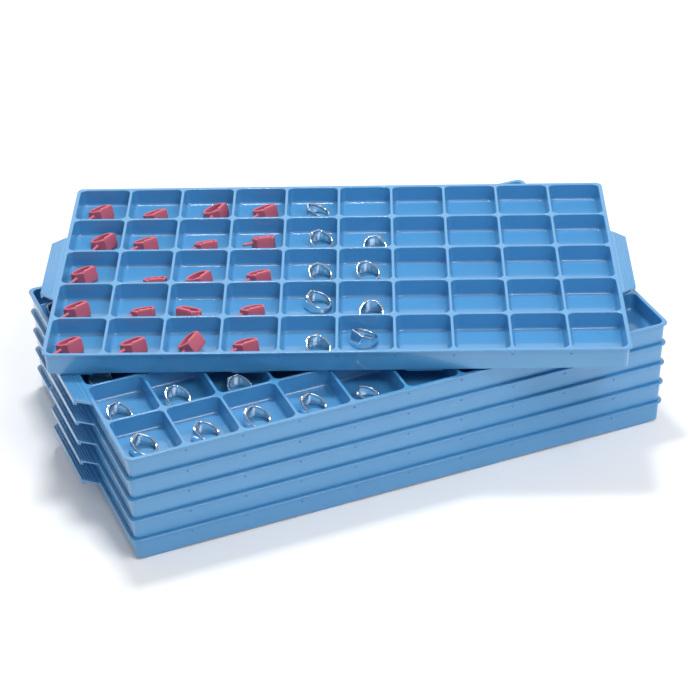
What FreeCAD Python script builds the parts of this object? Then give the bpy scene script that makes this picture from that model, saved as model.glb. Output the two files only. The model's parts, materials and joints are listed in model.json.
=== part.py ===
"""A stack of six sorting trays with fifty compartments each, and the small castings kept in them.

Five trays stand in line, one on the other, and a sixth lies turned across the top. Every tray is one
injection moulding: a rim, a drafted skirt, fifty drafted pockets, locating bars under the floor and a
ribbed grip at each short end. The top tray holds wax patterns of signet rings, each with its sprue, and
finished metal rings; the tray under it holds more finished rings. Units are millimetres, +Z is up, +X is
along the stack, and the origin is on the surface the bottom tray stands on, under the top tray's middle.
"""
import FreeCAD, Part
import math
import os

Vector = FreeCAD.Vector

# Compartments, shared by every tray
COLUMNS = 10
ROWS = 5
COLUMN_PITCH = 48.0
ROW_PITCH = 55.25
WALL_TOP = 2.6           # thickness of a wall between two pockets, at its top
POCKET_DEPTH = 15.5
POCKET_DRAFT_IN = 1.0    # how much further in a pocket's wall stands at the floor
POCKET_CORNER_R = 5.5
POCKET_FLOOR_R = 3.0

# Rim, skirt and floor
RIM_BEYOND = 2.2         # from the centre line of an outermost wall to the rim's edge
RIM_THICK = 1.6
RIM_CORNER_R = 6.0
SKIRT_INSET = 2.0        # from the rim's edge in to the skirt, at the top
SKIRT_DRAFT_IN = 0.9     # how much further in the skirt's foot stands
SKIRT_CORNER_R = 4.5
BODY_HEIGHT = 20.0       # rim top to skirt foot, which is also the pitch of the stack
FLOOR_THICK = 1.8
SKIRT_FOOT_THICK = 1.8   # skirt wall below the floor

# Small round sinks under the rim, one at each cross wall of the long sides
SINK_R = 1.0
SINK_DEPTH = 0.6
SINK_BELOW_RIM = 5.5

# Locating bars under the floor, which drop into the pockets of the tray below
BAR_DROP = 2.0
BAR_LENGTH = 30.0
BAR_THICK = 3.0
BAR_CLEARANCE = 0.5      # between a bar and the wall of the pocket it drops into
BAR_COLUMNS = (0, 3, 6, 9)

# Grips at the short ends
GRIP_REACH = 12.5
GRIP_ROOT_HALF = 53.0
GRIP_TIP_HALF = 41.5
GRIP_THICK = 1.8
GRIP_LIP_DROP = 4.5
GRIP_LIP_THICK = 1.8
GRIP_ARCH_R = 2.0
RIB_COUNT = 5
RIB_PITCH = 2.2
RIB_WIDTH = 1.1
RIB_HEIGHT = 0.5
RIB_END_GAP = 1.5        # from a rib's end to the sloping side of the grip

# The stack
STACKED_TRAYS = 5
STACK_X = -9.6           # the stack's middle from the top tray's
STACK_Y = -33.1
TOP_TRAY_TURN = -23.1

# Signet ring, as a wax pattern and as a finished casting
RING_OUTER_R = 10.5
RING_FACE_REACH = 11.4   # from the finger hole's middle to the flat face
RING_FACE_HALF = 6.2     # half the face, around the finger
RING_FACE_RISE = 6.7     # half the face, along the finger
RING_SHANK_RISE = 1.9    # half the band opposite the face, along the finger
WAX_WALL = 2.4
METAL_WALL = 1.4
SPRUE_R = 1.3
SPRUE_LENGTH = 9.5
SPRUE_BITE = 1.2         # how deep the sprue starts inside the band
FLOOR_GAP = 0.02         # a tilted piece's lowest point over the floor

# Where the wax patterns lie: row from the back, column from the left, place from the pocket's middle,
# the way the face looks, and the further tilt of the face upwards and roll about it, in degrees
WAX_PLACES = (
    (1, 1, -4.5, 4.0, -29, 0, 0),
    (1, 2, -1.5, -3.5, -36, 0, 0),
    (1, 3, 5.0, 2.5, -11, 0, 0),
    (1, 4, 2.5, 2.5, -34, 0, 0),
    (2, 1, 3.0, 6.5, -20, 0, 0),
    (2, 2, -6.0, 2.0, -40, 0, 0),
    (2, 3, 1.0, -3.0, -56, 0, 0),
    (2, 4, 4.5, 3.5, -64, 0, 0),
    (3, 1, -8.5, 5.5, -27, 0, 0),
    (3, 2, 8.0, -9.5, -89, 0, 0),
    (3, 3, -3.0, -5.5, -21, 0, 0),
    (3, 4, 2.0, -1.0, -48, 0, 0),
    (4, 1, -8.5, 3.0, -33, 0, 0),
    (4, 2, 2.0, -4.0, -57, 0, 0),
    (4, 3, -7.5, -7.0, -115, 0, 180),
    (4, 4, -1.0, -3.0, -53, 0, 0),
    (5, 1, -8.5, 2.0, -33, 0, 0),
    (5, 2, -3.0, 1.0, -35, 0, 0),
    (5, 3, -5.0, -1.0, -2, 10, -50),
    (5, 4, -4.5, -1.0, -46, 0, 0),
)
# Finished rings in the top tray and in the tray under it, in the same terms
TOP_RING_PLACES = (
    (1, 5, 5.0, -2.0, 182, 0, 0),
    (2, 5, 8.5, -1.0, 124, 0, 0),
    (2, 6, 8.5, -12.5, 102, 0, 0),
    (3, 5, 8.5, -3.5, 126, 0, 0),
    (3, 6, 2.0, -1.0, 119, 0, 0),
    (4, 5, 8.5, 8.0, 155, 0, 0),
    (4, 6, 5.0, -11.0, 90, 0, 0),
    (5, 5, 8.5, -8.5, 119, 0, 0),
    (5, 6, -0.5, 9.5, 219, 0, 0),
)
LOWER_RING_PLACES = (
    (1, 1, -7.5, -5.5, 120, 0, 0),
    (3, 1, -6.0, -8.0, 108, 0, 0),
    (4, 1, -7.5, -10.0, 111, 0, 0),
    (4, 2, -4.5, -6.0, 106, 0, 0),
    (4, 3, -1.0, -12.5, 99, 0, 0),
    (5, 1, -2.5, -4.0, 126, 0, 0),
    (5, 2, 1.0, -7.5, 139, 0, 0),
    (5, 3, -3.0, -5.0, 114, 0, 0),
    (5, 4, -3.0, -7.0, 116, 0, 0),
    (5, 5, -4.5, -12.0, 155, 0, 0),
)

# Worked out from the sizes above
RIM_HALF_X = COLUMNS * COLUMN_PITCH / 2 + RIM_BEYOND
RIM_HALF_Y = ROWS * ROW_PITCH / 2 + RIM_BEYOND
POCKET_HALF_X = (COLUMN_PITCH - WALL_TOP) / 2
POCKET_HALF_Y = (ROW_PITCH - WALL_TOP) / 2
FLOOR_TOP = BODY_HEIGHT - POCKET_DEPTH
FLOOR_UNDER = FLOOR_TOP - FLOOR_THICK
OVERSHOOT = 1.0          # how far a cutting tool runs past the face it cuts


def rounded_outline(half_x, half_y, radius, z):
    """A closed wire round a rectangle with arcs at its corners."""
    straight_x = half_x - radius
    straight_y = half_y - radius
    lean = radius * math.sqrt(0.5)
    edges = []
    for quarter, (sx, sy) in enumerate(((1, 1), (-1, 1), (-1, -1), (1, -1))):
        middle = Vector(sx * (straight_x + lean), sy * (straight_y + lean), z)
        on_x_side = Vector(sx * half_x, sy * straight_y, z)
        on_y_side = Vector(sx * straight_x, sy * half_y, z)
        ends = (on_x_side, on_y_side) if quarter % 2 == 0 else (on_y_side, on_x_side)
        edges.append(Part.Arc(ends[0], middle, ends[1]).toShape())
    sides = []
    for index, arc in enumerate(edges):
        following = edges[(index + 1) % len(edges)]
        sides.append(arc)
        sides.append(Part.makeLine(arc.Vertexes[-1].Point, following.Vertexes[0].Point))
    return Part.Wire(sides)


def tapered_block(low, high):
    """A solid between two rounded outlines, each given as half x, half y, corner radius and height."""
    return Part.makeLoft([rounded_outline(*low), rounded_outline(*high)], True, True)


def pocket_cutter():
    """One pocket's hollow, from its filleted floor to a little above the rim."""
    drift = POCKET_DRAFT_IN / POCKET_DEPTH
    above = OVERSHOOT * drift
    low = (
        POCKET_HALF_X - POCKET_DRAFT_IN,
        POCKET_HALF_Y - POCKET_DRAFT_IN,
        POCKET_CORNER_R - POCKET_DRAFT_IN,
        FLOOR_TOP,
    )
    high = (
        POCKET_HALF_X + above,
        POCKET_HALF_Y + above,
        POCKET_CORNER_R + above,
        BODY_HEIGHT + OVERSHOOT,
    )
    block = tapered_block(low, high)
    floor_edges = [e for e in block.Edges if e.BoundBox.ZMax < FLOOR_TOP + 1e-6]
    return block.makeFillet(POCKET_FLOOR_R, floor_edges)


def pocket_middle(row, column):
    """The middle of a pocket in a tray's own frame; rows count from the back, columns from the left."""
    x = (column - (COLUMNS + 1) / 2) * COLUMN_PITCH
    y = ((ROWS + 1) / 2 - row) * ROW_PITCH
    return x, y


def skirt_inset_at(z):
    """How far in from the rim's edge the skirt stands at a height over the skirt's foot."""
    return SKIRT_INSET + SKIRT_DRAFT_IN * (BODY_HEIGHT - z) / BODY_HEIGHT


def rim_and_skirt():
    """The rim flange and the drafted block that the skirt bounds."""
    rim = tapered_block(
        (RIM_HALF_X, RIM_HALF_Y, RIM_CORNER_R, BODY_HEIGHT - RIM_THICK),
        (RIM_HALF_X, RIM_HALF_Y, RIM_CORNER_R, BODY_HEIGHT),
    )
    foot_inset = skirt_inset_at(0)
    block = tapered_block(
        (RIM_HALF_X - foot_inset, RIM_HALF_Y - foot_inset, SKIRT_CORNER_R - SKIRT_DRAFT_IN, 0),
        (RIM_HALF_X - SKIRT_INSET, RIM_HALF_Y - SKIRT_INSET, SKIRT_CORNER_R, BODY_HEIGHT),
    )
    return block.fuse(rim)


def underside_recess():
    """The hollow under the floor, inside the foot of the skirt."""
    inset = skirt_inset_at(0) + SKIRT_FOOT_THICK
    radius = SKIRT_CORNER_R - SKIRT_DRAFT_IN - SKIRT_FOOT_THICK
    return tapered_block(
        (RIM_HALF_X - inset, RIM_HALF_Y - inset, radius, -OVERSHOOT),
        (RIM_HALF_X - inset, RIM_HALF_Y - inset, radius, FLOOR_UNDER),
    )


def locating_bars():
    """Bars under the outer rows and the end columns, just inside the pockets of the tray below."""
    height = FLOOR_UNDER + BAR_DROP
    face_x = COLUMNS * COLUMN_PITCH / 2 - WALL_TOP / 2 - BAR_CLEARANCE
    face_y = ROWS * ROW_PITCH / 2 - WALL_TOP / 2 - BAR_CLEARANCE
    bars = []
    for column in BAR_COLUMNS:
        middle_x = pocket_middle(1, column + 1)[0]
        for side in (-1, 1):
            low_y = face_y - BAR_THICK if side > 0 else -face_y
            corner = Vector(middle_x - BAR_LENGTH / 2, low_y, -BAR_DROP)
            bars.append(Part.makeBox(BAR_LENGTH, BAR_THICK, height, corner))
    reach = GRIP_TIP_HALF
    clear = POCKET_HALF_Y - POCKET_CORNER_R
    for row in range(2, ROWS):
        middle_y = pocket_middle(row, 1)[1]
        low = max(-reach, middle_y - clear)
        high = min(reach, middle_y + clear)
        if high - low < BAR_THICK:
            continue
        for side in (-1, 1):
            low_x = face_x - BAR_THICK if side > 0 else -face_x
            bars.append(Part.makeBox(BAR_THICK, high - low, height, Vector(low_x, low, -BAR_DROP)))
    return bars


def grip():
    """The ribbed grip of the +X end: a plate with a turned-down lip, arched inside, and ribs on top."""
    top = BODY_HEIGHT - RIB_HEIGHT
    under = top - GRIP_THICK
    lip_foot = top - GRIP_LIP_DROP
    root = RIM_HALF_X - SKIRT_INSET / 2
    tip = RIM_HALF_X + GRIP_REACH
    lip_inside = tip - GRIP_LIP_THICK
    lean = GRIP_ARCH_R * (1 - math.sqrt(0.5))
    points = [
        Vector(root, 0, top),
        Vector(tip, 0, top),
        Vector(tip, 0, lip_foot),
        Vector(lip_inside, 0, lip_foot),
        Vector(lip_inside, 0, under - GRIP_ARCH_R),
        Vector(lip_inside - GRIP_ARCH_R, 0, under),
        Vector(root, 0, under),
    ]
    edges = [Part.makeLine(a, b) for a, b in zip(points[:4], points[1:5])]
    edges.append(Part.Arc(points[4], Vector(lip_inside - lean, 0, under - lean), points[5]).toShape())
    edges.append(Part.makeLine(points[5], points[6]))
    edges.append(Part.makeLine(points[6], points[0]))
    section = Part.Face(Part.Wire(edges))
    section.translate(Vector(0, -GRIP_ROOT_HALF - OVERSHOOT, 0))
    channel = section.extrude(Vector(0, 2 * (GRIP_ROOT_HALF + OVERSHOOT), 0))
    outline = [
        Vector(root, -GRIP_ROOT_HALF, 0),
        Vector(RIM_HALF_X, -GRIP_ROOT_HALF, 0),
        Vector(tip, -GRIP_TIP_HALF, 0),
        Vector(tip, GRIP_TIP_HALF, 0),
        Vector(RIM_HALF_X, GRIP_ROOT_HALF, 0),
        Vector(root, GRIP_ROOT_HALF, 0),
    ]
    plan = Part.Face(Part.makePolygon(outline + outline[:1]))
    plate = channel.common(plan.extrude(Vector(0, 0, BODY_HEIGHT)))
    slope = (GRIP_ROOT_HALF - GRIP_TIP_HALF) / GRIP_REACH
    ribs = []
    for number in range(RIB_COUNT):
        outer_x = tip - number * RIB_PITCH
        half = GRIP_TIP_HALF + (tip - outer_x) * slope - RIB_END_GAP
        corner = Vector(outer_x - RIB_WIDTH, -half, top - OVERSHOOT)
        ribs.append(Part.makeBox(RIB_WIDTH, 2 * half, OVERSHOOT + RIB_HEIGHT, corner))
    return plate.fuse(ribs)


def side_sinks():
    """Short cylinders that cut the row of sinks into both long sides."""
    z = BODY_HEIGHT - SINK_BELOW_RIM
    face_y = RIM_HALF_Y - skirt_inset_at(z)
    cutters = []
    for wall in range(1, COLUMNS):
        x = (wall - COLUMNS / 2) * COLUMN_PITCH
        for side in (-1, 1):
            start = Vector(x, side * (face_y - SINK_DEPTH), z)
            cutters.append(Part.makeCylinder(SINK_R, SINK_DEPTH + OVERSHOOT, start, Vector(0, side, 0)))
    return cutters


def tray():
    """One tray about its own middle, with the foot of its skirt at height 0."""
    right_grip = grip()
    left_grip = right_grip.copy()
    left_grip.rotate(Vector(0, 0, 0), Vector(0, 0, 1), 180)
    body = rim_and_skirt().fuse([right_grip, left_grip])
    hollow = pocket_cutter()
    cutters = [underside_recess()]
    for row in range(1, ROWS + 1):
        for column in range(1, COLUMNS + 1):
            x, y = pocket_middle(row, column)
            cutter = hollow.copy()
            cutter.translate(Vector(x, y, 0))
            cutters.append(cutter)
    body = body.cut(cutters + side_sinks())
    return body.fuse(locating_bars()).removeSplitter()


def face_outline(outer_r, reach, half):
    """A round outline with a flat towards +X, joined to the round by its two tangents."""
    distance = math.hypot(reach, half)
    turn = math.atan2(half, reach) + math.acos(outer_r / distance)
    touch = Vector(outer_r * math.cos(turn), outer_r * math.sin(turn), 0)
    touch_below = Vector(touch.x, -touch.y, 0)
    corner = Vector(reach, half, 0)
    corner_below = Vector(reach, -half, 0)
    arc = Part.Arc(touch, Vector(-outer_r, 0, 0), touch_below).toShape()
    lines = [
        Part.makeLine(touch_below, corner_below),
        Part.makeLine(corner_below, corner),
        Part.makeLine(corner, touch),
    ]
    return Part.Face(Part.Wire([arc] + lines))


def rise_slope():
    """How fast the band widens along the finger, per millimetre from shank to face."""
    return (RING_FACE_RISE - RING_SHANK_RISE) / (RING_FACE_REACH + RING_OUTER_R)


def signet_ring(wall, hollow_face):
    """A signet ring about its finger hole's axis, with its face towards +X and its band tapered."""
    tall = 4 * RING_FACE_RISE
    outer = face_outline(RING_OUTER_R, RING_FACE_REACH, RING_FACE_HALF)
    inner_r = RING_OUTER_R - wall
    if hollow_face:
        inner = face_outline(inner_r, RING_FACE_REACH - wall, RING_FACE_HALF - wall / 2)
    else:
        inner = Part.Face(Part.Wire(Part.makeCircle(inner_r)))
    band = outer.extrude(Vector(0, 0, tall)).cut(inner.extrude(Vector(0, 0, tall)))
    band.translate(Vector(0, 0, -tall / 2))
    low_x = -RING_OUTER_R - OVERSHOOT
    high_x = RING_FACE_REACH + OVERSHOOT
    low_rise = RING_SHANK_RISE - OVERSHOOT * rise_slope()
    high_rise = RING_FACE_RISE + OVERSHOOT * rise_slope()
    side = 2 * RING_OUTER_R
    profile = [
        Vector(low_x, -side, -low_rise),
        Vector(high_x, -side, -high_rise),
        Vector(high_x, -side, high_rise),
        Vector(low_x, -side, low_rise),
    ]
    wedge = Part.Face(Part.makePolygon(profile + profile[:1])).extrude(Vector(0, 2 * side, 0))
    return band.common(wedge)


def wax_pattern():
    """A wax signet ring with its sprue standing out of the side of the band."""
    band = signet_ring(WAX_WALL, False)
    start = Vector(0, -RING_OUTER_R + SPRUE_BITE, 0)
    sprue = Part.makeCylinder(SPRUE_R, SPRUE_LENGTH + SPRUE_BITE, start, Vector(0, -1, 0))
    return band.fuse(sprue).removeSplitter()


def laid_down(shape, place, floor_z):
    """A ring turned so that its tapered side lies on the pocket floor, then tilted, turned and placed."""
    row, column, dx, dy, heading, tilt, roll = place
    piece = shape.copy()
    middle = Vector(0, 0, 0)
    lean = math.degrees(math.atan(rise_slope()))
    piece.rotate(middle, Vector(1, 0, 0), roll)
    piece.rotate(middle, Vector(0, 1, 0), -(lean + tilt))
    piece.rotate(middle, Vector(0, 0, 1), heading)
    x, y = pocket_middle(row, column)
    lowest = piece.optimalBoundingBox(False).ZMin
    piece.translate(Vector(x + dx, y + dy, floor_z - lowest + FLOOR_GAP))
    return piece


def top_tray_base():
    """Height of the top tray's skirt foot: it stands on its bars, on the rims of the tray below."""
    return tray_base(STACKED_TRAYS) + BODY_HEIGHT + BAR_DROP


def tray_base(number):
    """Height of a stacked tray's skirt foot; the bottom tray, number 1, stands on its bars."""
    return BAR_DROP + (number - 1) * BODY_HEIGHT


def across_the_top(piece):
    """Turns a piece that was placed in a tray's own frame to where the top tray lies."""
    piece.rotate(Vector(0, 0, 0), Vector(0, 0, 1), TOP_TRAY_TURN)
    return piece


def in_the_stack(piece):
    """Shifts a piece that was placed in a tray's own frame to where the stack stands."""
    piece.translate(Vector(STACK_X, STACK_Y, 0))
    return piece


def write(name, shape):
    """Writes one node's STEP file."""
    shape.exportStep(os.path.join("parts", name + ".step"))


def main():
    """Builds and writes every node."""
    os.makedirs("parts", exist_ok=True)
    moulding = tray()
    for number in range(1, STACKED_TRAYS + 1):
        stacked = moulding.copy()
        stacked.translate(Vector(0, 0, tray_base(number)))
        write("tray_%d" % number, in_the_stack(stacked))
    top = moulding.copy()
    top.translate(Vector(0, 0, top_tray_base()))
    write("top_tray", across_the_top(top))

    pattern = wax_pattern()
    ring = signet_ring(METAL_WALL, True)
    top_floor = top_tray_base() + FLOOR_TOP
    lower_floor = tray_base(STACKED_TRAYS) + FLOOR_TOP
    for place in WAX_PLACES:
        laid = across_the_top(laid_down(pattern, place, top_floor))
        write("wax_pattern_row%d_col%d" % place[:2], laid)
    for place in TOP_RING_PLACES:
        laid = across_the_top(laid_down(ring, place, top_floor))
        write("ring_row%d_col%d" % place[:2], laid)
    for place in LOWER_RING_PLACES:
        laid = in_the_stack(laid_down(ring, place, lower_floor))
        write("lower_ring_row%d_col%d" % place[:2], laid)


main()
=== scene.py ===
"""The looks of a stack of six compartment sorting trays and the small castings kept in them.

Five trays stand in line and a sixth lies turned across the top. Its compartments hold wax patterns of
signet rings, each with its sprue, and finished metal rings; the tray under it holds more rings. Every
shape is a surface worked out with numpy in millimetres and put into the model's frame in metres.
"""
import json
import logging
import math
from dataclasses import dataclass, field
from enum import Enum

import bmesh
import bpy
import numpy as np
from mathutils import Matrix, Vector


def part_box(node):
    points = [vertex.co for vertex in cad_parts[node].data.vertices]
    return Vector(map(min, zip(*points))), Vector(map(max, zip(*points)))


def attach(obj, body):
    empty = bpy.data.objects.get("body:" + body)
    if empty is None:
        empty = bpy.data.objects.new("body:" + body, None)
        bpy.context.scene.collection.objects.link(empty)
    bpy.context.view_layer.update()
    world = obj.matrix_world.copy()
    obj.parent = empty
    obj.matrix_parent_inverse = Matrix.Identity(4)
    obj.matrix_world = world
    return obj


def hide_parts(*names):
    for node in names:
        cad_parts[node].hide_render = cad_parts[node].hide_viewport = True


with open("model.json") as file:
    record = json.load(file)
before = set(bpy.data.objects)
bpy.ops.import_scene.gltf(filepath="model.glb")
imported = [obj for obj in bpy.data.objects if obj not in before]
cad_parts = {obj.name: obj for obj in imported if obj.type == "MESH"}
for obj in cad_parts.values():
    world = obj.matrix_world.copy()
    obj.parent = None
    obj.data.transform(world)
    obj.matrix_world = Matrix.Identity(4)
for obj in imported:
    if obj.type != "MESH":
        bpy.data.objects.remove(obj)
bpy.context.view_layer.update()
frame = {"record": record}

MM = 0.001
ALL_SMOOTH = 180               # degrees: no edge is shaded sharp
TOP_TRAY_TURN = -23.1          # degrees that the top tray is turned from the stack
log = logging.getLogger("sorting_trays")


# ------------------------------
# Colour and node helpers
# ------------------------------

def linear(hex_colour: str) -> tuple[float, float, float, float]:
    """Turns an sRGB hex colour into linear light.

    Each channel c is c/12.92 up to 0.04045 and ((c+0.055)/1.055)^2.4 above it.

    Args:
        hex_colour: six hex digits, with or without a leading hash.

    Returns:
        Linear red, green, blue and an alpha of 1.
    """
    digits = hex_colour.lstrip("#")
    channels = [int(digits[i:i + 2], 16) / 255 for i in (0, 2, 4)]
    return tuple(c / 12.92 if c <= 0.04045 else ((c + 0.055) / 1.055) ** 2.4 for c in channels) + (1.0,)


def add_node(
    tree: bpy.types.NodeTree, kind: str, settings: dict | None = None, inputs: dict | None = None,
) -> bpy.types.Node:
    """Adds one node, sets it up and links it.

    Args:
        tree: the node tree to add to.
        kind: the node's type name.
        settings: attributes of the node itself.
        inputs: socket name or number to a value, or to the output socket that feeds it.

    Returns:
        The new node.
    """
    node = tree.nodes.new(kind)
    for name, value in (settings or {}).items():
        setattr(node, name, value)
    for name, value in (inputs or {}).items():
        if isinstance(value, bpy.types.NodeSocket):
            tree.links.new(value, node.inputs[name])
        else:
            node.inputs[name].default_value = value
    return node


def new_material(name: str) -> tuple[bpy.types.Material, bpy.types.NodeTree, bpy.types.Node, bpy.types.Node]:
    """Makes an empty material with a Principled shader on its output and object coordinates ready.

    Args:
        name: the material's name.

    Returns:
        The material, its tree, its Principled node and its Texture Coordinate node.
    """
    material = bpy.data.materials.new(name)
    material.use_nodes = True
    tree = material.node_tree
    tree.nodes.clear()
    shader = add_node(tree, "ShaderNodeBsdfPrincipled")
    add_node(tree, "ShaderNodeOutputMaterial", inputs={"Surface": shader.outputs["BSDF"]})
    place = add_node(tree, "ShaderNodeTexCoord")
    return material, tree, shader, place


# ------------------------------
# Mesh helpers
# ------------------------------

@dataclass
class Shell:
    """Points in millimetres and polygons gathered from several patches."""

    points: list[np.ndarray] = field(default_factory=list)
    polygons: list[np.ndarray] = field(default_factory=list)
    count: int = 0

    def add(self, points: np.ndarray, *polygons: np.ndarray) -> None:
        """Adds a patch.

        Args:
            points: an array of points, n by 3.
            polygons: arrays of corner numbers into those points, one array for each corner count.
        """
        self.points.append(points)
        self.polygons.extend(p + self.count for p in polygons)
        self.count += len(points)

    def add_rings(self, rings: np.ndarray, cap_first: bool, cap_last: bool) -> None:
        """Adds a sheet swept through closed rings, each counter-clockwise seen from its open side.

        Args:
            rings: k by n by 3 points; ring i and ring i+1 are joined by n quads.
            cap_first: closes the first ring with one polygon.
            cap_last: closes the last ring with one polygon.
        """
        k, n, _ = rings.shape
        polygons = [ring_quads(k, n)]
        if cap_first:
            polygons.append(np.arange(n)[::-1][None])
        if cap_last:
            polygons.append((np.arange(n) + (k - 1) * n)[None])
        self.add(rings.reshape(-1, 3), *polygons)

    def welded(self, step: float = 1e-4) -> "Shell":
        """Merges points that agree to a step, by rounding them and keeping each rounded point once.

        Args:
            step: the rounding step, in millimetres.

        Returns:
            The merged shell.
        """
        points = np.concatenate(self.points)
        _, first, where = np.unique(
            np.round(points / step).astype(np.int64), axis=0, return_index=True, return_inverse=True)
        merged = Shell()
        merged.add(points[first], *[where.ravel()[p] for p in self.polygons])
        return merged

    def moved(self, turn: np.ndarray, shift: np.ndarray) -> "Shell":
        """The same polygons with each point turned and then shifted.

        Args:
            turn: a 3 by 3 matrix.
            shift: X, Y and Z in millimetres.

        Returns:
            The moved copy.
        """
        copy = Shell()
        copy.add(np.concatenate(self.points) @ turn.T + shift, *self.polygons)
        return copy

    def joined(self, *others: "Shell") -> "Shell":
        """This shell and others side by side in one.

        Args:
            others: the shells to add, with their points unmerged.

        Returns:
            The whole.
        """
        whole = Shell()
        for shell in (self, *others):
            whole.add(np.concatenate(shell.points), *shell.polygons)
        return whole


def ring_quads(k: int, n: int) -> np.ndarray:
    """Quads between closed rings: corners (i, j), (i, j+1), (i+1, j+1) and (i+1, j).

    Args:
        k: how many rings.
        n: how many points each ring has.

    Returns:
        Corner numbers, 4 for each quad.
    """
    i = np.arange(k - 1)[:, None] * n
    j = np.arange(n)[None, :]
    following = (j + 1) % n
    return np.stack([i + j, i + following, i + n + following, i + n + j], -1).reshape(-1, 4)


def write_mesh(name: str, shell: Shell, sharp_over: float) -> bpy.types.Mesh:
    """Puts a shell into a mesh, in metres.

    Args:
        name: the mesh's name.
        shell: points in millimetres and polygons.
        sharp_over: edges whose faces meet at more than this many degrees are shaded sharp.

    Returns:
        The mesh.
    """
    points = np.concatenate(shell.points) * MM
    corners = np.concatenate([p.ravel() for p in shell.polygons])
    totals = np.concatenate([np.full(len(p), p.shape[1]) for p in shell.polygons])
    starts = np.concatenate([[0], np.cumsum(totals)[:-1]])
    mesh = bpy.data.meshes.new(name)
    mesh.vertices.add(len(points))
    mesh.vertices.foreach_set("co", points.ravel().astype(np.float32))
    mesh.loops.add(len(corners))
    mesh.loops.foreach_set("vertex_index", corners.astype(np.int32))
    mesh.polygons.add(len(totals))
    mesh.polygons.foreach_set("loop_start", starts.astype(np.int32))
    mesh.polygons.foreach_set("loop_total", totals.astype(np.int32))
    mesh.polygons.foreach_set("use_smooth", np.ones(len(totals), bool))
    mesh.update(calc_edges=True)
    mesh.validate()
    mesh.set_sharp_from_angle(angle=math.radians(sharp_over))
    return mesh


def read_shell(mesh: bpy.types.Mesh) -> Shell:
    """Reads a mesh back into a shell, one polygon array for each corner count.

    Args:
        mesh: a mesh in metres.

    Returns:
        The shell, in millimetres.
    """
    points = np.empty(len(mesh.vertices) * 3, np.float32)
    mesh.vertices.foreach_get("co", points)
    corners = np.empty(len(mesh.loops), np.int32)
    mesh.loops.foreach_get("vertex_index", corners)
    starts = np.empty(len(mesh.polygons), np.int32)
    totals = np.empty(len(mesh.polygons), np.int32)
    mesh.polygons.foreach_get("loop_start", starts)
    mesh.polygons.foreach_get("loop_total", totals)
    polygons = [corners[starts[totals == t][:, None] + np.arange(t)] for t in np.unique(totals)]
    shell = Shell()
    shell.add(points.reshape(-1, 3).astype(float) / MM, *polygons)
    return shell


def outward(shell: Shell, rounding: float = 0.0, segments: int = 2, over: float = 40.0) -> Shell:
    """Turns a closed shell's faces outwards and rounds its sharp edges.

    Args:
        shell: a closed shell in millimetres.
        rounding: how far a sharp edge is rounded, in millimetres; 0 leaves the edges.
        segments: strips across a rounded edge.
        over: edges sharper than this many degrees are rounded.

    Returns:
        The finished shell.
    """
    mesh = write_mesh("scratch", shell, ALL_SMOOTH)
    work = bmesh.new()
    work.from_mesh(mesh)
    bmesh.ops.recalc_face_normals(work, faces=work.faces[:])
    if rounding:
        sharp = [e for e in work.edges if e.calc_face_angle(0.0) > math.radians(over)]
        bmesh.ops.bevel(
            work, geom=sharp, offset=rounding * MM, segments=segments, profile=0.5, affect="EDGES",
            clamp_overlap=True)
    work.to_mesh(mesh)
    work.free()
    finished = read_shell(mesh)
    bpy.data.meshes.remove(mesh)
    return finished


def turn_about(axis: str, degrees: float) -> np.ndarray:
    """A 3 by 3 right-handed turn about X, Y or Z."""
    return np.array(Matrix.Rotation(math.radians(degrees), 3, axis))


# ------------------------------
# Finishes
# ------------------------------

@dataclass(frozen=True)
class MouldedPolystyrene:
    """Injection-moulded impact polystyrene: an even blue with a soft gloss from a polished mould."""

    colour: str = "4798cf"
    darker: str = "3f90c8"
    roughness: float = 0.46
    skin: float = 1.0          # share of the surface that the polished mould left glossy
    flow_mm: float = 45.0      # how wide the faint clouds of colour from the melt's flow are
    grain_mm: float = 0.9      # mould grain, drawn coarser than the real one, which is too fine to show
    bump: float = 0.06
    bump_mm: float = 0.1
    ior: float = 1.55          # a little under clear polystyrene's 1.59

    def make(self) -> bpy.types.Material:
        """Builds the material: clouded colour, uneven gloss and a fine orange-peel bump.

        Returns:
            The material.
        """
        material, tree, shader, place = new_material("moulded_blue_polystyrene")
        where = place.outputs["Object"]
        flow = add_node(tree, "ShaderNodeTexNoise", inputs={
            "Vector": where, "Scale": 1 / (self.flow_mm * MM), "Detail": 3.0, "Roughness": 0.55})
        colour = add_node(tree, "ShaderNodeMix", {"data_type": "RGBA"}, {
            "Factor": flow.outputs["Fac"], "A": linear(self.darker), "B": linear(self.colour)})
        grain = add_node(tree, "ShaderNodeTexNoise", inputs={
            "Vector": where, "Scale": 1 / (self.grain_mm * MM), "Detail": 2.0, "Roughness": 0.5})
        gloss = add_node(tree, "ShaderNodeMapRange", inputs={
            "Value": grain.outputs["Fac"], "From Min": 0.3, "From Max": 0.7,
            "To Min": self.roughness - 0.05, "To Max": self.roughness + 0.06})
        bump = add_node(tree, "ShaderNodeBump", inputs={
            "Strength": self.bump, "Distance": self.bump_mm * MM, "Height": grain.outputs["Fac"]})
        tree.links.new(colour.outputs["Result"], shader.inputs["Base Color"])
        tree.links.new(gloss.outputs["Result"], shader.inputs["Roughness"])
        tree.links.new(bump.outputs["Normal"], shader.inputs["Normal"])
        shader.inputs["IOR"].default_value = self.ior
        shader.inputs["Specular IOR Level"].default_value = 0.7
        shader.inputs["Coat Weight"].default_value = self.skin
        shader.inputs["Coat Roughness"].default_value = 0.1
        return material


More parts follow.
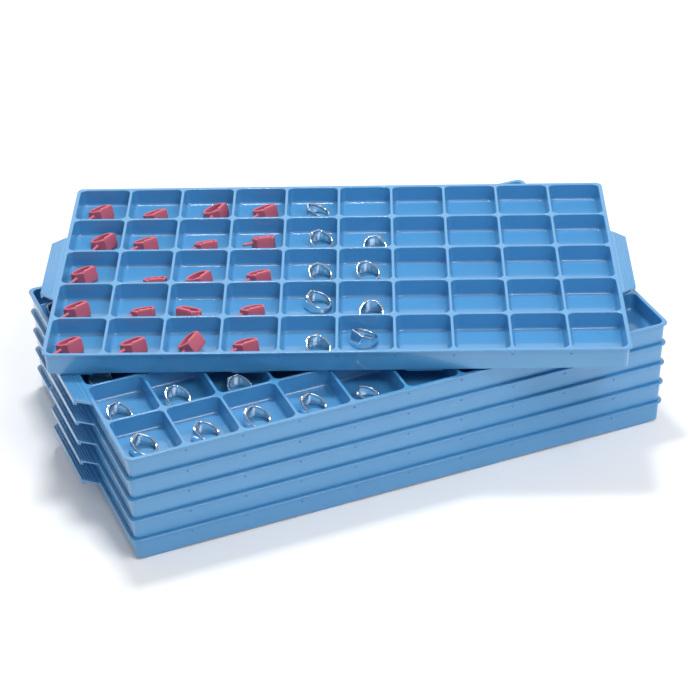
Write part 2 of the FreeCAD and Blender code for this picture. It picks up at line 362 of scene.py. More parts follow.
@dataclass(frozen=True)
class InjectionWax:
    """Jeweller's injection wax: matt pinkish red, faintly mottled where it chilled in the rubber mould."""

    colour: str = "dc7484"
    darker: str = "cc6476"
    roughness: float = 0.5
    glow_mm: float = 1.2       # how far light spreads inside the wax
    mottle_mm: float = 1.6     # size of the chill marks
    bump: float = 0.15
    bump_mm: float = 0.1
    ior: float = 1.44          # about that of paraffin

    def make(self) -> bpy.types.Material:
        """Builds the material: mottled colour, soft gloss, a slight chill-mark bump.

        Returns:
            The material.
        """
        material, tree, shader, place = new_material("injection_wax")
        where = place.outputs["Object"]
        mottle = add_node(tree, "ShaderNodeTexNoise", inputs={
            "Vector": where, "Scale": 1 / (self.mottle_mm * MM), "Detail": 3.0, "Roughness": 0.6})
        colour = add_node(tree, "ShaderNodeMix", {"data_type": "RGBA"}, {
            "Factor": mottle.outputs["Fac"], "A": linear(self.darker), "B": linear(self.colour)})
        bump = add_node(tree, "ShaderNodeBump", inputs={
            "Strength": self.bump, "Distance": self.bump_mm * MM, "Height": mottle.outputs["Fac"]})
        tree.links.new(colour.outputs["Result"], shader.inputs["Base Color"])
        tree.links.new(bump.outputs["Normal"], shader.inputs["Normal"])
        shader.inputs["Roughness"].default_value = self.roughness
        shader.inputs["IOR"].default_value = self.ior
        shader.inputs["Subsurface Weight"].default_value = 0.3
        shader.inputs["Subsurface Radius"].default_value = (1.0, 0.35, 0.35)
        shader.inputs["Subsurface Scale"].default_value = self.glow_mm * MM
        return material


@dataclass(frozen=True)
class PolishedSilver:
    """Cast silver polished on a wheel: mirror-bright, with the mop's marks as slight changes of gloss."""

    colour: str = "e6e9ec"
    roughness: float = 0.05
    drag_mm: float = 0.5       # size of the mop's marks, coarser than real ones so that they show

    def make(self) -> bpy.types.Material:
        """Builds the material: a metal whose gloss varies in fine patches.

        Returns:
            The material.
        """
        material, tree, shader, place = new_material("polished_silver")
        marks = add_node(tree, "ShaderNodeTexNoise", inputs={
            "Vector": place.outputs["Object"], "Scale": 1 / (self.drag_mm * MM), "Detail": 2.0})
        gloss = add_node(tree, "ShaderNodeMapRange", inputs={
            "Value": marks.outputs["Fac"], "From Min": 0.3, "From Max": 0.7,
            "To Min": self.roughness - 0.03, "To Max": self.roughness + 0.05})
        tree.links.new(gloss.outputs["Result"], shader.inputs["Roughness"])
        shader.inputs["Base Color"].default_value = linear(self.colour)
        shader.inputs["Metallic"].default_value = 1.0
        return material


@dataclass(frozen=True)
class StudioPaper:
    """Matt white paper on a light table, which glows through it a little."""

    colour: str = "fbfbfb"
    glow: float = 0.08
    fibres_per_metre: float = 900.0

    def make(self) -> bpy.types.Material:
        """Builds the material: plain matt white with a barely visible fibre.

        Returns:
            The material.
        """
        material, tree, shader, place = new_material("studio_paper")
        fibre = add_node(tree, "ShaderNodeTexNoise", inputs={
            "Vector": place.outputs["Object"], "Scale": self.fibres_per_metre})
        bump = add_node(tree, "ShaderNodeBump", inputs={
            "Strength": 0.02, "Distance": 0.0001, "Height": fibre.outputs["Fac"]})
        tree.links.new(bump.outputs["Normal"], shader.inputs["Normal"])
        shader.inputs["Base Color"].default_value = linear(self.colour)
        shader.inputs["Roughness"].default_value = 0.95
        shader.inputs["Specular IOR Level"].default_value = 0.0
        shader.inputs["Emission Color"].default_value = linear("ffffff")
        shader.inputs["Emission Strength"].default_value = self.glow
        return material


# ------------------------------
# The tray
# ------------------------------

@dataclass(frozen=True)
class TraySizes:
    """Sizes of one tray in millimetres; height 0 is the foot of its skirt."""

    columns: int = 10
    rows: int = 5
    column_pitch: float = 48.0
    row_pitch: float = 55.25
    wall_top: float = 2.6
    depth: float = 15.5
    draft_in: float = 1.0
    corner_r: float = 5.5
    floor_r: float = 3.0
    top_edge_r: float = 0.75
    height: float = 20.0
    rim_beyond: float = 2.2
    rim_thick: float = 1.6
    rim_corner_r: float = 6.0
    rim_edge_r: float = 0.5
    rim_low_edge_r: float = 0.3
    skirt_inset: float = 2.0
    skirt_draft_in: float = 0.9
    skirt_corner_r: float = 4.5
    floor_thick: float = 1.8
    foot_thick: float = 1.8
    bar_drop: float = 2.0
    bar_length: float = 30.0
    bar_thick: float = 3.0
    bar_clearance: float = 0.5
    bar_columns: tuple[int, ...] = (0, 3, 6, 9)
    sink_r: float = 1.0
    sink_depth: float = 0.6
    sink_below_rim: float = 5.5
    grip_reach: float = 12.5
    grip_root_half: float = 53.0
    grip_tip_half: float = 41.5
    grip_thick: float = 1.8
    grip_lip_drop: float = 4.5
    grip_lip_thick: float = 1.8
    grip_arch_r: float = 2.0
    rib_count: int = 5
    rib_pitch: float = 2.2
    rib_width: float = 1.1
    rib_height: float = 0.5
    rib_end_gap: float = 1.5

    @property
    def floor_z(self) -> float:
        """Height of the compartments' floor."""
        return self.height - self.depth

    @property
    def rim_half(self) -> np.ndarray:
        """Half the rim's outline, along X and Y."""
        return self.grid_half + self.rim_beyond

    @property
    def grid_half(self) -> np.ndarray:
        """Half the grid of compartments, to the outermost walls' centre lines."""
        return np.array([self.columns * self.column_pitch, self.rows * self.row_pitch]) / 2


@dataclass
class SortingTray:
    """Builds one tray's surface about its own middle, in millimetres."""

    sizes: TraySizes = field(default_factory=TraySizes)
    corner_segments: int = 8
    side_segments: int = 4

    def pocket_directions(self) -> tuple[np.ndarray, np.ndarray]:
        """Where a compartment's outline runs.

        A point of the outline at corner radius r is a fixed anchor plus r times a unit direction: round a
        corner the anchor stands still and the direction turns by 90 degrees, along a side the direction
        stands still and the anchor moves.

        Returns:
            Anchors and directions, each n by 2, counter-clockwise from the middle of the +X side.
        """
        s = self.sizes
        straight = np.array([s.column_pitch, s.row_pitch]) / 2 - s.wall_top / 2 - s.corner_r
        turn = np.linspace(0, np.pi / 2, self.corner_segments + 1)
        along = np.linspace(1, -1, self.side_segments + 1)[1:-1]
        anchors, directions = [], []
        for quarter in range(4):
            angle = turn + quarter * np.pi / 2
            corner = straight * np.array([(1, 1), (-1, 1), (-1, -1), (1, -1)][quarter])
            anchors.append(np.repeat(corner[None], len(turn), 0))
            directions.append(np.stack([np.cos(angle), np.sin(angle)], -1))
            side = np.array([(0, 1), (-1, 0), (0, -1), (1, 0)][quarter])
            ends = np.abs(side[::-1])
            anchors.append(corner * (1 - ends) + ends * corner * along[:, None])
            directions.append(np.repeat(side[None].astype(float), len(along), 0))
        return np.concatenate(anchors), np.concatenate(directions)

    def cell_outline(self, anchors: np.ndarray, directions: np.ndarray) -> np.ndarray:
        """The same points pushed out to the rectangle of the walls' centre lines.

        Each coordinate is pushed out so that a corner's middle point lands on the rectangle's corner: the
        half before it runs along one side and the half after it along the other, in equal steps.

        Args:
            anchors: n by 2, as pocket_directions gives them.
            directions: n by 2, in the same order.

        Returns:
            n by 2 points on the rectangle.
        """
        s = self.sizes
        half = np.array([s.column_pitch, s.row_pitch]) / 2
        angle = np.arctan2(np.abs(directions[:, 1]), np.abs(directions[:, 0])) / (np.pi / 2)
        reach = half - np.abs(anchors)
        push = np.clip(np.stack([2 * (1 - angle), 2 * angle], -1), 0, 1) * reach
        sign = np.sign(np.where(np.abs(directions) < 1e-9, 0, directions))
        return anchors + sign * push

    def pocket_profile(self) -> np.ndarray:
        """The section of a compartment's wall, from the top edge's rounding to the floor.

        It is a quarter circle, a straight line that leans in by the draft, a quarter circle and the floor.

        Returns:
            n by 2: how far in from the opening, and the height.
        """
        s = self.sizes
        slope = s.draft_in / s.depth
        r = s.top_edge_r
        turn = np.linspace(np.pi / 2, 0, 5)
        edge = np.stack([(np.cos(turn) - 1) * r + slope * r, s.height - r + r * np.sin(turn)], -1)
        low = s.floor_z + s.floor_r
        wall = np.array([[slope * (s.height - z), z] for z in (s.height - r - 0.4, low + 0.4, low)])
        bend = np.linspace(0, np.pi / 2, 7)[1:]
        start = wall[-1, 0]
        fillet = np.stack([start + s.floor_r * (1 - np.cos(bend)), low - s.floor_r * np.sin(bend)], -1)
        inner = np.array([[start + s.floor_r + 0.3, s.floor_z]])
        outer = np.array([[edge[0, 0] - 0.15, s.height]])
        return np.concatenate([outer, edge, wall, fillet, inner])

    def pockets(self) -> Shell:
        """All compartments and the flat tops of the walls between them.

        The section is carried round the outline: anchor plus direction times the corner radius less the
        section's distance in.

        Returns:
            The tray's upper side, open at the grid's border.
        """
        s = self.sizes
        anchors, directions = self.pocket_directions()
        profile = self.pocket_profile()
        radius = s.corner_r - profile[:, 0]
        flat = anchors[None] + directions[None] * radius[:, None, None]
        rings = np.concatenate([flat, np.broadcast_to(profile[:, 1, None, None], flat.shape[:2] + (1,))], -1)
        border = self.cell_outline(anchors, directions)
        first = np.concatenate([border, np.full((len(border), 1), s.height)], -1)[None]
        one = np.concatenate([first, rings])
        shell = Shell()
        for row in range(s.rows):
            for column in range(s.columns):
                middle = np.array([
                    (column - (s.columns - 1) / 2) * s.column_pitch,
                    (row - (s.rows - 1) / 2) * s.row_pitch, 0])
                shell.add_rings(one + middle, False, True)
        return shell

    def border_points(self) -> np.ndarray:
        """The grid's outer rectangle, with the compartments' own border points.

        Returns:
            n by 2 points, counter-clockwise.
        """
        s = self.sizes
        anchors, directions = self.pocket_directions()
        cell = self.cell_outline(anchors, directions)
        half = np.array([s.column_pitch, s.row_pitch]) / 2
        sides = []
        for axis, count, pitch in ((0, s.columns, s.column_pitch), (1, s.rows, s.row_pitch)):
            on_side = np.abs(cell[:, 1 - axis] - half[1 - axis]) < 1e-9
            steps = np.unique(np.round(cell[on_side][:, axis], 6))[:-1]
            middles = (np.arange(count) - (count - 1) / 2) * pitch
            sides.append((middles[:, None] + steps).ravel())
        x, y = sides
        gx, gy = s.grid_half
        right = np.stack([np.full(len(y), gx), y], -1)
        back = np.stack([-x, np.full(len(x), gy)], -1)
        return np.concatenate([right, back, -right, -back])

    def outline(self, border: np.ndarray, inset: float, radius: float, z: float) -> np.ndarray:
        """The border points carried out to a rounded rectangle.

        The straight part of each side is stretched evenly; the last stretch before a corner becomes 45
        degrees of that corner's arc.

        Args:
            border: points of the grid's outer rectangle.
            inset: how far in from the rim's edge the rounded rectangle stands.
            radius: its corner radius.
            z: its height.

        Returns:
            n by 3 points.
        """
        s = self.sizes
        half = s.rim_half - inset
        grid = s.grid_half
        span = s.corner_r + s.wall_top / 2
        on_x = np.abs(np.abs(border[:, 0]) - grid[0]) < 1e-6
        main = np.where(on_x, np.abs(border[:, 1]), np.abs(border[:, 0]))
        limit = np.where(on_x, grid[1], grid[0]) - span
        bend = np.clip((main - limit) / span, 0, 1) * np.pi / 4
        reach = np.where(on_x, half[1], half[0]) - radius
        along = np.minimum(main, limit) * reach / limit + radius * np.sin(bend)
        across = np.where(on_x, half[0], half[1]) - radius * (1 - np.cos(bend))
        x = np.where(on_x, across, along) * np.sign(border[:, 0])
        y = np.where(on_x, along, across) * np.sign(border[:, 1])
        return np.stack([x, y, np.full(len(x), z)], -1)

    def rim_and_skirt(self) -> Shell:
        """Underside, foot, skirt and rim, as rounded rectangles from the underside to the grid's border.

        Each is given by its distance in from the rim's edge, its corner radius and its height.

        Returns:
            The tray's outer side and underside.
        """
        s = self.sizes
        border = self.border_points()
        foot_in = s.skirt_inset + s.skirt_draft_in
        inner_r = s.skirt_corner_r - s.skirt_draft_in - s.foot_thick
        foot_r = s.skirt_corner_r - s.skirt_draft_in
        under = s.floor_z - s.floor_thick
        rim_low = s.height - s.rim_thick
        e = s.rim_edge_r
        inside = foot_in + s.foot_thick
        steps = [
            (inside + 0.5, inner_r - 0.5, under), (inside, inner_r, under), (inside, inner_r, 0.3),
            (inside - 0.3, inner_r + 0.3, 0.0), (foot_in + 0.4, foot_r - 0.4, 0.0),
            (foot_in + 0.12, foot_r - 0.12, 0.12), (foot_in, foot_r, 0.4)]
        for z in (0.9, rim_low - 0.9, rim_low - 0.4):
            back = s.skirt_draft_in * (s.height - z) / s.height
            steps.append((s.skirt_inset + back, s.skirt_corner_r - back, z))
        steps.append((s.skirt_inset - 0.1, s.skirt_corner_r + 0.1, rim_low - 0.1))
        steps.append((s.skirt_inset - 0.4, s.skirt_corner_r + 0.4, rim_low))
        low_r = s.rim_low_edge_r
        for angle in np.linspace(-np.pi / 2, 0, 4):
            back = low_r * (1 - np.cos(angle))
            steps.append((back, s.rim_corner_r - back, rim_low + low_r * (1 + np.sin(angle))))
        for angle in np.linspace(0, np.pi / 2, 5):
            back = e * (1 - np.cos(angle))
            steps.append((back, s.rim_corner_r - back, s.height - e * (1 - np.sin(angle))))
        steps.append((e + 0.15, s.rim_corner_r - e - 0.15, s.height))
        rings = [self.outline(border, *step) for step in steps]
        rings.append(np.concatenate([border, np.full((len(border), 1), s.height)], -1))
        shell = Shell()
        shell.add_rings(np.array(rings), True, False)
        return shell

    def grip(self) -> Shell:
        """The ribbed grip of the +X end.

        One closed profile of the plate, its ribs and its turned-down lip, in X and Z, is carried along Y to
        limits that slope with X. Near the ends the ribs' height fades to nothing.

        Returns:
            The grip, closed.
        """
        s = self.sizes
        top = s.height - s.rib_height
        under = top - s.grip_thick
        root = s.rim_half[0] - s.skirt_inset / 2
        tip = s.rim_half[0] + s.grip_reach
        wave = np.linspace(0, np.pi, 7)
        x_top, rise = [root], [0.0]
        for number in range(s.rib_count - 1, -1, -1):
            left = tip - number * s.rib_pitch - s.rib_width
            x_top.extend(left + s.rib_width * (1 - np.cos(wave)) / 2)
            rise.extend(np.sin(wave) ** 0.7 * s.rib_height)
        arch = np.linspace(0, np.pi / 2, 7)
        inside = tip - s.grip_lip_thick
        x_low = np.concatenate([[tip, inside], inside - s.grip_arch_r * (1 - np.cos(arch)), [root]])
        z_low = np.concatenate([
            [top - s.grip_lip_drop] * 2, under - s.grip_arch_r * (1 - np.sin(arch)), [under]])
        x = np.concatenate([x_top, x_low])
        z = np.concatenate([np.full(len(x_top), top), z_low])
        rib = np.concatenate([rise, np.zeros(len(x_low))])
        slope = (s.grip_root_half - s.grip_tip_half) / s.grip_reach
        limit = np.minimum(s.grip_tip_half + (tip - x) * slope, s.grip_root_half)
        stations = [(1.0, 0.0, 0.0), (1.0, s.rib_end_gap - 0.3, 0.0), (1.0, s.rib_end_gap + 0.3, 1.0)]
        stations += [(-a, -b, c) for a, b, c in reversed(stations)]
        rings = np.array([
            np.stack([x, a * limit - b, z + rib * c], -1) for a, b, c in stations])
        shell = Shell()
        shell.add_rings(rings, True, True)
        return outward(shell, 0.25, 2, 50)

    def bars(self) -> Shell:
        """The locating bars under the floor, each a box with rounded edges.

        Returns:
            All bars, closed.
        """
        s = self.sizes
        face = s.grid_half - s.wall_top / 2 - s.bar_clearance
        boxes = []
        for column in s.bar_columns:
            x = (column - (s.columns - 1) / 2) * s.column_pitch
            for side in (-1, 1):
                boxes.append((x, side * (face[1] - s.bar_thick / 2), s.bar_length / 2, s.bar_thick / 2))
        clear = (s.row_pitch - s.wall_top) / 2 - s.corner_r
        for row in (-1, 0, 1):
            low = max(-s.grip_tip_half, row * s.row_pitch - clear)
            high = min(s.grip_tip_half, row * s.row_pitch + clear)
            for side in (-1, 1):
                x = side * (face[0] - s.bar_thick / 2)
                boxes.append((x, (low + high) / 2, s.bar_thick / 2, (high - low) / 2))
        corners = np.array([(-1, -1), (1, -1), (1, 1), (-1, 1)])
        shell = Shell()
        for x, y, half_x, half_y in boxes:
            plan = corners * (half_x, half_y) + (x, y)
            rings = np.array([
                np.concatenate([plan, np.full((4, 1), z)], -1)
                for z in (-s.bar_drop, s.floor_z - s.floor_thick + 0.5)])
            shell.add_rings(rings, True, True)
        return outward(shell, 0.3, 2, 50)

    def with_sinks(self, body: Shell) -> Shell:
        """Cuts the small round sinks under the rim of the long sides, each a slightly flared round.

        Args:
            body: the tray's closed body.

        Returns:
            The body with its sinks.
        """
        s = self.sizes
        z = s.height - s.sink_below_rim
        face = s.rim_half[1] - s.skirt_inset - s.skirt_draft_in * s.sink_below_rim / s.height
        turn = np.linspace(0, 2 * np.pi, 17)[:-1]
        cutters = Shell()
        for wall in range(1, s.columns):
            x = (wall - s.columns / 2) * s.column_pitch
            for side in (-1, 1):
                cutters.add_rings(np.array([
                    np.stack([
                        x + s.sink_r * share * np.cos(turn), np.full(len(turn), side * (face + reach)),
                        z + s.sink_r * share * np.sin(turn)], -1)
                    for reach, share in ((-s.sink_depth, 0.6), (-0.15, 0.95), (0.3, 1.15))]), True, True)
        block = bpy.data.objects.new("block", write_mesh("block", body, ALL_SMOOTH))
        tool = bpy.data.objects.new("tool", write_mesh("tool", outward(cutters), ALL_SMOOTH))
        for piece in (block, tool):
            bpy.context.scene.collection.objects.link(piece)
        cut = block.modifiers.new("sinks", "BOOLEAN")
        cut.operation = "DIFFERENCE"
        cut.solver = "EXACT"
        cut.object = tool
        dressed = block.evaluated_get(bpy.context.evaluated_depsgraph_get())
        shell = read_shell(bpy.data.meshes.new_from_object(dressed))
        for piece in (block, tool):
            bpy.data.objects.remove(piece)
        return shell

    def build(self) -> Shell:
        """The whole tray.

        Returns:
            Body, both grips and the locating bars.
        """
        body = self.pockets().joined(self.rim_and_skirt()).welded()
        body = self.with_sinks(body)
        right = self.grip()
        left = right.moved(turn_about("Z", 180), np.zeros(3))
        return body.joined(right, left, self.bars())


# ------------------------------
# Rings and wax patterns
# ------------------------------

@dataclass(frozen=True)
class SignetSizes:
    """Sizes of a signet ring in millimetres, about its finger hole, with the face towards +X."""

    outer_r: float = 10.5
    face_reach: float = 11.4
    face_half: float = 6.2
    face_rise: float = 6.7
    shank_rise: float = 1.9
    wall: float = 1.4
    edge_r: float = 0.3
    hollow: bool = True
    shoulder_in: float = 0.6   # how much narrower the shoulders are than the face
    corner_cut: float = 1.2    # how much the face's corners are rounded off
    corner_run: float = 2.6    # over how much of the half face, from its end
    softness: float = 15.0     # of the soft minimum: the less, the rounder the outline's corners
    comfort: float = 0.0       # how much the hole widens towards its two ends
    sprue_r: float = 0.0
    sprue_length: float = 9.5
    sprue_forward: float = 14.0   # degrees by which the sprue stands forward of square to the face

    @property
    def slope(self) -> float:
        """How fast the band widens from shank to face."""
        return (self.face_rise - self.shank_rise) / (self.face_reach + self.outer_r)


@dataclass
class SignetRing:
    """Builds a signet ring, as a finished casting or as a wax pattern with its sprue."""

    sizes: SignetSizes
    around: int = 216

    def outer_radius(self, angle: np.ndarray, back: float = 0.0) -> np.ndarray:
        """Distance from the finger's axis to the outline, at an angle from the face.

        The outline is the convex hull of a circle and the face's edge. Its distance is the smallest of the
        face line's, reach over cosine, and the flank line's, blended by a soft minimum, and never less than
        the circle's.

        Args:
            angle: angles from the face's middle, in radians.
            back: how far inside the outline the surface stands.

        Returns:
            Distances in millimetres.
        """
        s = self.sizes
        reach, half, r = s.face_reach - back, s.face_half - back / 2, s.outer_r - back
        turn = np.abs((angle + np.pi) % (2 * np.pi) - np.pi)
        face = reach / np.maximum(np.cos(turn), 0.05)
        distance = math.hypot(reach, half)
        normal = math.atan2(half, reach) + math.acos(min(1.0, r / distance))
        flank = r / np.maximum(np.cos(turn - normal), 0.05)
        power = s.softness if back == 0 else s.softness / 2.5
        near = (face ** -power + flank ** -power) ** (-1 / power)
        return np.where(turn < normal, near, r)

    def rise(self, angle: np.ndarray) -> np.ndarray:
        """Half the band's width along the finger: the taper, less the face's rounded corners.

        The corner is a quarter ellipse over the last millimetres of the face, and fades out on the flank.
        Behind the face the shoulders draw in, and the larger of the two is taken off.

        Args:
            angle: angles from the face's middle, in radians.

        Returns:
            Half widths in millimetres.
        """
        s = self.sizes
        reach = self.outer_radius(angle)
        x, y = reach * np.cos(angle), np.abs(reach * np.sin(angle))
        taper = s.shank_rise + s.slope * (x + s.outer_r)
        t = np.clip((y - (s.face_half - s.corner_run)) / s.corner_run, 0, 1)
        flank = np.clip((np.abs(angle) - 0.5) / 0.25, 0, 1)
        corner = s.corner_cut * (1 - np.sqrt(np.maximum(0, 1 - t ** 2))) * (1 - flank)
        behind = np.clip((s.face_reach - 0.3 - x) / (s.face_reach + s.outer_r), 0, 1)
        shoulder = np.where(behind > 0, s.shoulder_in * (1 - behind) ** 1.5, 0)
        return taper - np.maximum(corner, shoulder * np.clip((np.abs(angle) - 0.42) / 0.12, 0, 1))

    def band(self) -> Shell:
        """The band: a rounded rectangular section carried once round the finger.

        A point of the section is (outside or inside, depth and lift into the corner's rounding, share of the
        half width). The hole widens towards its ends by the square of that share.

        Returns:
            The band, closed.
        """
        s = self.sizes
        angle = np.linspace(-np.pi, np.pi, self.around, endpoint=False)
        outer = self.outer_radius(angle)
        inner = self.outer_radius(angle, s.wall) if s.hollow else np.full_like(angle, s.outer_r - s.wall)
        rise = self.rise(angle)
        bend = np.linspace(0, np.pi / 2, 5)
        near, far = 1 - np.cos(bend), 1 - np.sin(bend)
        corners = [(1, depth, lift, 1) for depth, lift in zip(near, far)]
        corners += [(0, depth, lift, 1) for depth, lift in zip(far, near)]
        hole = [(0, 0, 0, share) for share in (0.8, 0.4, 0, -0.4, -0.8)]
        mirrored = [(side, depth, lift, -1) for side, depth, lift, _ in reversed(corners)]
        outside = [(1, 0, 0, share) for share in (-0.5, 0, 0.5)]
        side, depth, lift, share = np.array(corners + hole + mirrored + outside).T[:, :, None]
        flare = s.comfort * (share ** 2 - 1)
        radius = np.where(side > 0.5, outer - depth * s.edge_r, inner + depth * s.edge_r + flare)
        height = share * rise - np.sign(share) * lift * s.edge_r
        rings = np.stack([radius * np.cos(angle), radius * np.sin(angle), height], -1)
        rings = np.concatenate([rings, rings[:1]])
        shell = Shell()
        shell.add_rings(rings, False, False)
        return outward(shell.welded())

    def sprue(self) -> Shell:
        """The sprue: a rod out from the hole's middle whose foot flares where it meets the band.

        Returns:
            The rod, closed.
        """
        s = self.sizes
        turn = np.linspace(0, 2 * np.pi, 25)[:-1]
        start = s.outer_r - s.wall / 2
        end = s.outer_r + s.sprue_length
        stations = [
            (start, 1.45), (s.outer_r + 0.1, 1.42), (s.outer_r + 0.6, 1.18), (s.outer_r + 1.4, 1.02),
            (s.outer_r + 3, 1.0), (end - 0.5, 1.0), (end - 0.12, 0.93), (end, 0.75)]
        rings = np.array([
            np.stack([np.cos(turn) * s.sprue_r * k, np.full(len(turn), -y), np.sin(turn) * s.sprue_r * k], -1)
            for y, k in stations])
        shell = Shell()
        shell.add_rings(rings, True, True)
        return outward(shell).moved(turn_about("Z", s.sprue_forward), np.zeros(3))

    def build(self) -> Shell:
        """The ring, with its sprue if it has one."""
        band = self.band()
        return band.joined(self.sprue()) if self.sizes.sprue_r else band


# ------------------------------
# Where the castings lie
# ------------------------------

class Kind(Enum):
    """What lies in a compartment, by the start of its node's name."""

    WAX = "wax_pattern"
    TOP_RING = "ring"
    LOWER_RING = "lower_ring"


@dataclass(frozen=True)
class Lying:
    """How one casting lies: its compartment and the turns that lay it down, in degrees."""

    kind: Kind
    row: int
    column: int
    heading: float
    tilt: float = 0.0
    roll: float = 0.0

    @property
    def node(self) -> str:
        """The name of the solid that this casting stands for."""
        return f"{self.kind.value}_row{self.row}_col{self.column}"

    def turn(self, slope: float) -> np.ndarray:
        """The whole turn: roll about X, lean and tilt about Y, heading about Z, then the tray's turn.

        Args:
            slope: how fast the band widens; the casting leans by its angle to lie on its side.

        Returns:
            A 3 by 3 matrix.
        """
        lean = math.degrees(math.atan(slope))
        tray = 0.0 if self.kind is Kind.LOWER_RING else TOP_TRAY_TURN
        return (turn_about("Z", self.heading + tray) @ turn_about("Y", -(lean + self.tilt))
                @ turn_about("X", self.roll))


# The way each face looks, in degrees from the tray's +X; one row of the tray on each line
WAX_HEADINGS = (
    (-43, -50, -25, -48),
    (-34, -54, -70, -78),
    (-41, -80, -35, -62),
    (-47, -71, -115, -67),
    (-47, -49, -45, -60))
PROPPED = {(4, 3): (0, 180), (5, 3): (12, 19)}   # tilt and roll of the two that do not lie flat
TOP_RING_HEADINGS = {
    (1, 5): 182, (2, 5): 124, (2, 6): 102, (3, 5): 126, (3, 6): 119, (4, 5): 155, (4, 6): 90, (5, 5): 119,
    (5, 6): 219}
LOWER_RING_HEADINGS = {
    (1, 1): 120, (3, 1): 108, (4, 1): 111, (4, 2): 106, (4, 3): 99, (5, 1): 126, (5, 2): 139, (5, 3): 114,
    (5, 4): 116, (5, 5): 155}


def castings() -> list[Lying]:
    """Every casting and how it lies.

    Returns:
        Wax patterns first, then the rings of the top tray and of the tray under it.
    """
    lying = [
        Lying(Kind.WAX, row, column, heading, *PROPPED.get((row, column), (0, 0)))
        for row, headings in enumerate(WAX_HEADINGS, 1) for column, heading in enumerate(headings, 1)]
    lying += [Lying(Kind.TOP_RING, *cell, heading) for cell, heading in TOP_RING_HEADINGS.items()]
    lying += [Lying(Kind.LOWER_RING, *cell, heading) for cell, heading in LOWER_RING_HEADINGS.items()]
    return lying


# ------------------------------
# Putting pieces into the frame
# ------------------------------

def body_of(node: str) -> str:
    """The body of the frame that a node belongs to.

    Args:
        node: the node's name.

    Returns:
        The body's name.
    """
    for body, nodes in frame["record"]["behaviour"]["bodies"].items():
        if node in nodes:
            return body
    raise KeyError(node)


def stand_in_for(
    node: str, shell: Shell, material: bpy.types.Material, sharp_over: float,
) -> bpy.types.Object:
    """Makes the piece that stands for a node and rides where the node rides.

    Args:
        node: the node's name.
        shell: the piece's surface in the frame, in millimetres.
        material: its finish.
        sharp_over: edges over this many degrees are shaded sharp.

    Returns:
        The new object.
    """
    name = f"{node}_finished"
    piece = bpy.data.objects.new(name, write_mesh(name, shell, sharp_over))
    piece.data.materials.append(material)
    bpy.context.scene.collection.objects.link(piece)
    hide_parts(node)
    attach(piece, body_of(node))
    log.info("%s: %d faces", name, len(piece.data.polygons))
    return piece


@dataclass
class TrayStack:
    """The six trays."""

    tray: SortingTray = field(default_factory=SortingTray)
    finish: MouldedPolystyrene = field(default_factory=MouldedPolystyrene)
    sharp_over: float = 35

    def build(self) -> None:
        """Builds one tray and places a copy of it for each tray node, by the middle of the node's box."""
        moulding = self.tray.build()
        material = self.finish.make()
        for node in [f"tray_{n}" for n in range(1, 6)] + ["top_tray"]:
            low, high = (np.array(corner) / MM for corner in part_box(node))
            shift = (low + high) / 2
            shift[2] = low[2] + self.tray.sizes.bar_drop
            turn = turn_about("Z", TOP_TRAY_TURN if node == "top_tray" else 0.0)
            stand_in_for(node, moulding.moved(turn, shift), material, self.sharp_over)


@dataclass
class Castings:
    """The wax patterns and the finished rings."""

    wax: InjectionWax = field(default_factory=InjectionWax)
    silver: PolishedSilver = field(default_factory=PolishedSilver)
    pattern: SignetSizes = field(default_factory=lambda: SignetSizes(
        face_reach=10.9, face_half=7.4, wall=2.4, edge_r=0.7, hollow=False, shoulder_in=1.0, corner_cut=2.6,
        softness=60, sprue_r=1.3))
    ring: SignetSizes = field(default_factory=lambda: SignetSizes(edge_r=0.5, comfort=0.35, softness=14.0))
    sharp_over: float = 50

    def build(self) -> None:
        """Builds the pattern and the ring once, and lays a copy where each node's box is."""
        shapes = {True: SignetRing(self.pattern).build(), False: SignetRing(self.ring).build()}
        wax, silver = self.wax.make(), self.silver.make()
        for lying in castings():
            is_wax = lying.kind is Kind.WAX
            sizes = self.pattern if is_wax else self.ring
            laid = shapes[is_wax].moved(lying.turn(sizes.slope), np.zeros(3))
            points = laid.points[0]
            low, high = (np.array(corner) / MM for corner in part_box(lying.node))
            shift = (low + high) / 2 - (points.min(0) + points.max(0)) / 2
            shift[2] = low[2] - points[:, 2].min()
            placed = laid.moved(np.eye(3), shift)
            stand_in_for(lying.node, placed, wax if is_wax else silver, self.sharp_over)


# ------------------------------
# Studio
# ------------------------------

@dataclass(frozen=True)
class Softbox:
    """One soft light: where it stands and what it looks at, in metres, its size and its power in watts."""

    name: str
    place: tuple[float, float, float]
    width: float
    height: float
    power: float
    colour: str = "ffffff"
    target: tuple[float, float, float] = (0.0, 0.0, 0.08)

    def make(self) -> None:
        """Adds the light."""
        lamp = bpy.data.lights.new(self.name, "AREA")
        lamp.shape = "RECTANGLE"
        lamp.size, lamp.size_y = self.width, self.height
        lamp.energy = self.power
        lamp.color = linear(self.colour)[:3]
        stand = bpy.data.objects.new(self.name, lamp)
        stand.location = self.place
        aim = Vector(self.target) - Vector(self.place)
        stand.rotation_euler = aim.to_track_quat("-Z", "Y").to_euler()
        bpy.context.scene.collection.objects.link(stand)


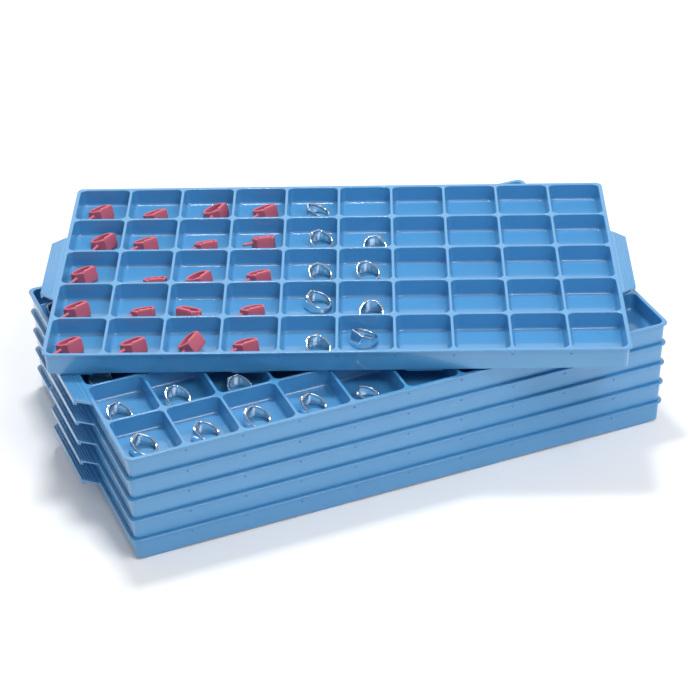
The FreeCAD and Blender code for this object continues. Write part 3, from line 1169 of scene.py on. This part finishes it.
@dataclass(frozen=True)
class Studio:
    """Camera, paper floor, softboxes and the white room around them."""

    camera_place: tuple[float, float, float] = (-0.60436, -1.49960, 1.09342)
    camera_rows: tuple[tuple[float, float, float], ...] = (
        (0.9998562, 0.0036475, -0.0165586), (-0.0118489, -0.5482435, -0.8362348),
        (-0.0121283, 0.8363108, -0.5481215))
    lens: float = 111.166
    sensor: float = 36.0
    room_light: float = 0.4
    floor_half: float = 9000.0   # half the paper's side, in millimetres
    floor_gap: float = 0.05      # how far the paper is under the stack, in millimetres

    def camera(self) -> None:
        """Adds the camera: its rows are right, down and ahead, in the top tray's own directions."""
        right, down, ahead = np.array(self.camera_rows) @ turn_about("Z", TOP_TRAY_TURN).T
        turn = Matrix(np.stack([right, -down, -ahead], -1).tolist()).to_4x4()
        data = bpy.data.cameras.new("camera")
        data.lens, data.sensor_width = self.lens, self.sensor
        data.dof.use_dof = False
        data.clip_start, data.clip_end = 0.05, 30
        eye = bpy.data.objects.new("camera", data)
        eye.matrix_world = Matrix.Translation(self.camera_place) @ turn
        bpy.context.scene.collection.objects.link(eye)
        bpy.context.scene.camera = eye

    def room(self) -> None:
        """Adds the white room as the world's light."""
        world = bpy.data.worlds.new("white_room")
        world.use_nodes = True
        background = world.node_tree.nodes["Background"]
        background.inputs["Color"].default_value = linear("ffffff")
        background.inputs["Strength"].default_value = self.room_light
        bpy.context.scene.world = world

    def floor(self) -> None:
        """Adds the paper floor, just under the stack."""
        corners = np.array([(-1, -1, 0), (1, -1, 0), (1, 1, 0), (-1, 1, 0)]) * self.floor_half
        shell = Shell()
        shell.add(corners - (0, 0, self.floor_gap), np.array([[0, 1, 2, 3]]))
        paper = bpy.data.objects.new("paper_floor", write_mesh("paper_floor", shell, ALL_SMOOTH))
        paper.data.materials.append(StudioPaper().make())
        bpy.context.scene.collection.objects.link(paper)

    def build(self) -> None:
        """Sets up the studio."""
        self.camera()
        self.room()
        self.floor()
        for softbox in (
            Softbox("overhead_back", (0.0, 0.35, 1.7), 0.34, 0.26, 15),
            Softbox("overhead_front", (0.3, -1.0, 1.5), 0.8, 0.6, 11),
            Softbox("key_right", (1.6, -0.9, 1.2), 1.0, 1.0, 4),
            Softbox("back_wall", (0.3, 2.4, 1.2), 3.2, 1.6, 13),
        ):
            softbox.make()
        bpy.context.scene.view_settings.view_transform = "Standard"


def main() -> None:
    """Builds everything in order."""
    logging.basicConfig(level=logging.INFO, format="%(name)s %(message)s")
    Studio().build()
    TrayStack().build()
    Castings().build()
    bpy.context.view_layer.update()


if __name__ == "__main__":
    main()
